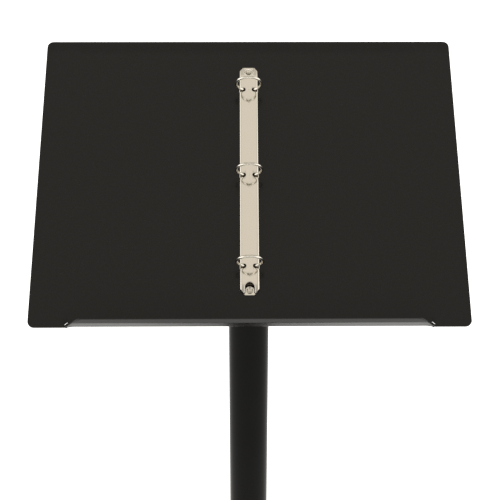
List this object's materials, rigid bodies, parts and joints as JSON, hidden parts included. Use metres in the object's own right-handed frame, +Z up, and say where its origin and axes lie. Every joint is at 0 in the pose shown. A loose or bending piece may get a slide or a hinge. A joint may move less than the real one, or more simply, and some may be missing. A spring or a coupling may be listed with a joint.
{
  "type": "ring binder display stand",
  "caption": "Floor-standing sheet-steel display desk with a folded lip and a ring-binder mechanism, tilting on a height-adjustable round column with a weighted disc base.",
  "frame": {"origin": "on the floor, on the column's axis at the centre of the disc base", "axes": "+Z up along the column, the desk faces -Y, +X to the reader's right"},
  "size_m": [0.466, 0.4, 1.2048],
  "materials": {
    "powder_coat": "fine-textured semi-matt black powder coat",
    "column_coat": "smooth satin black powder coat",
    "nickel": "bright satin nickel plate, slightly warm",
    "zinc": "bright zinc plate",
    "cast_alloy": "black painted casting",
    "nylon": "natural nylon",
    "black_plastic": "moulded, lightly grained black plastic",
    "rubber": "matt black rubber"
  },
  "bodies": {
    "base": {"base_plate": "powder_coat", "foot_front_right": "rubber", "foot_back_right": "rubber", "foot_back_left": "rubber", "foot_front_left": "rubber", "tube_socket": "powder_coat", "base_bolt": "zinc", "base_washer": "zinc", "lower_tube": "column_coat", "tube_bush": "black_plastic", "height_collar": "cast_alloy"},
    "height_knob": {"height_knob": "black_plastic", "height_knob_stem": "zinc"},
    "upper_column": {"upper_tube": "column_coat", "glide_ring": "black_plastic", "column_head": "cast_alloy"},
    "desk": {"desk_panel": "powder_coat", "desk_bracket": "powder_coat", "bracket_nut_lower_left": "zinc", "bracket_nut_lower_right": "zinc", "bracket_nut_upper_left": "zinc", "bracket_nut_upper_right": "zinc", "tilt_bolt": "zinc", "friction_washer_left": "nylon", "friction_washer_right": "nylon", "knob_washer": "zinc", "ring_cover": "nickel", "cover_rivet_upper": "nickel", "cover_rivet_lower": "nickel"},
    "tilt_knob": {"tilt_knob": "black_plastic"},
    "left_rings": {"left_blade": "nickel", "left_ring_top": "nickel", "left_ring_middle": "nickel", "left_ring_bottom": "nickel"},
    "right_rings": {"right_blade": "nickel", "right_ring_top": "nickel", "right_ring_middle": "nickel", "right_ring_bottom": "nickel"}
  },
  "joints": [
    {"name": "height_slide", "type": "slide", "parent": "base", "child": "upper_column", "axis": [0, 0, 1], "range_m": [-0.2, 0.2]},
    {"name": "desk_tilt", "type": "hinge", "parent": "upper_column", "child": "desk", "pos_m": [0, 0, 1.054], "axis": [1, 0, 0], "range_deg": [-30, 35]},
    {"name": "tilt_knob_turn", "type": "hinge", "parent": "desk", "child": "tilt_knob", "pos_m": [0.035, 0, 1.054], "axis": [1, 0, 0], "range_deg": [0, 360]},
    {"name": "height_knob_turn", "type": "hinge", "parent": "base", "child": "height_knob", "pos_m": [0, 0.055, 0.578], "axis": [0, 1, 0], "range_deg": [0, 360]},
    {"name": "left_rings_open", "type": "hinge", "parent": "desk", "child": "left_rings", "pos_m": [-0.0087, -0.03355, 1.09321], "axis": [0, -0.766, -0.6428], "range_deg": [0, 16]},
    {"name": "right_rings_open", "type": "hinge", "parent": "desk", "child": "right_rings", "pos_m": [0.0087, -0.03355, 1.09321], "axis": [0, 0.766, 0.6428], "range_deg": [0, 16]}
  ],
  "couplings": [
    {"joint": "right_rings_open", "follows": "left_rings_open", "ratio": 1}
  ]
}
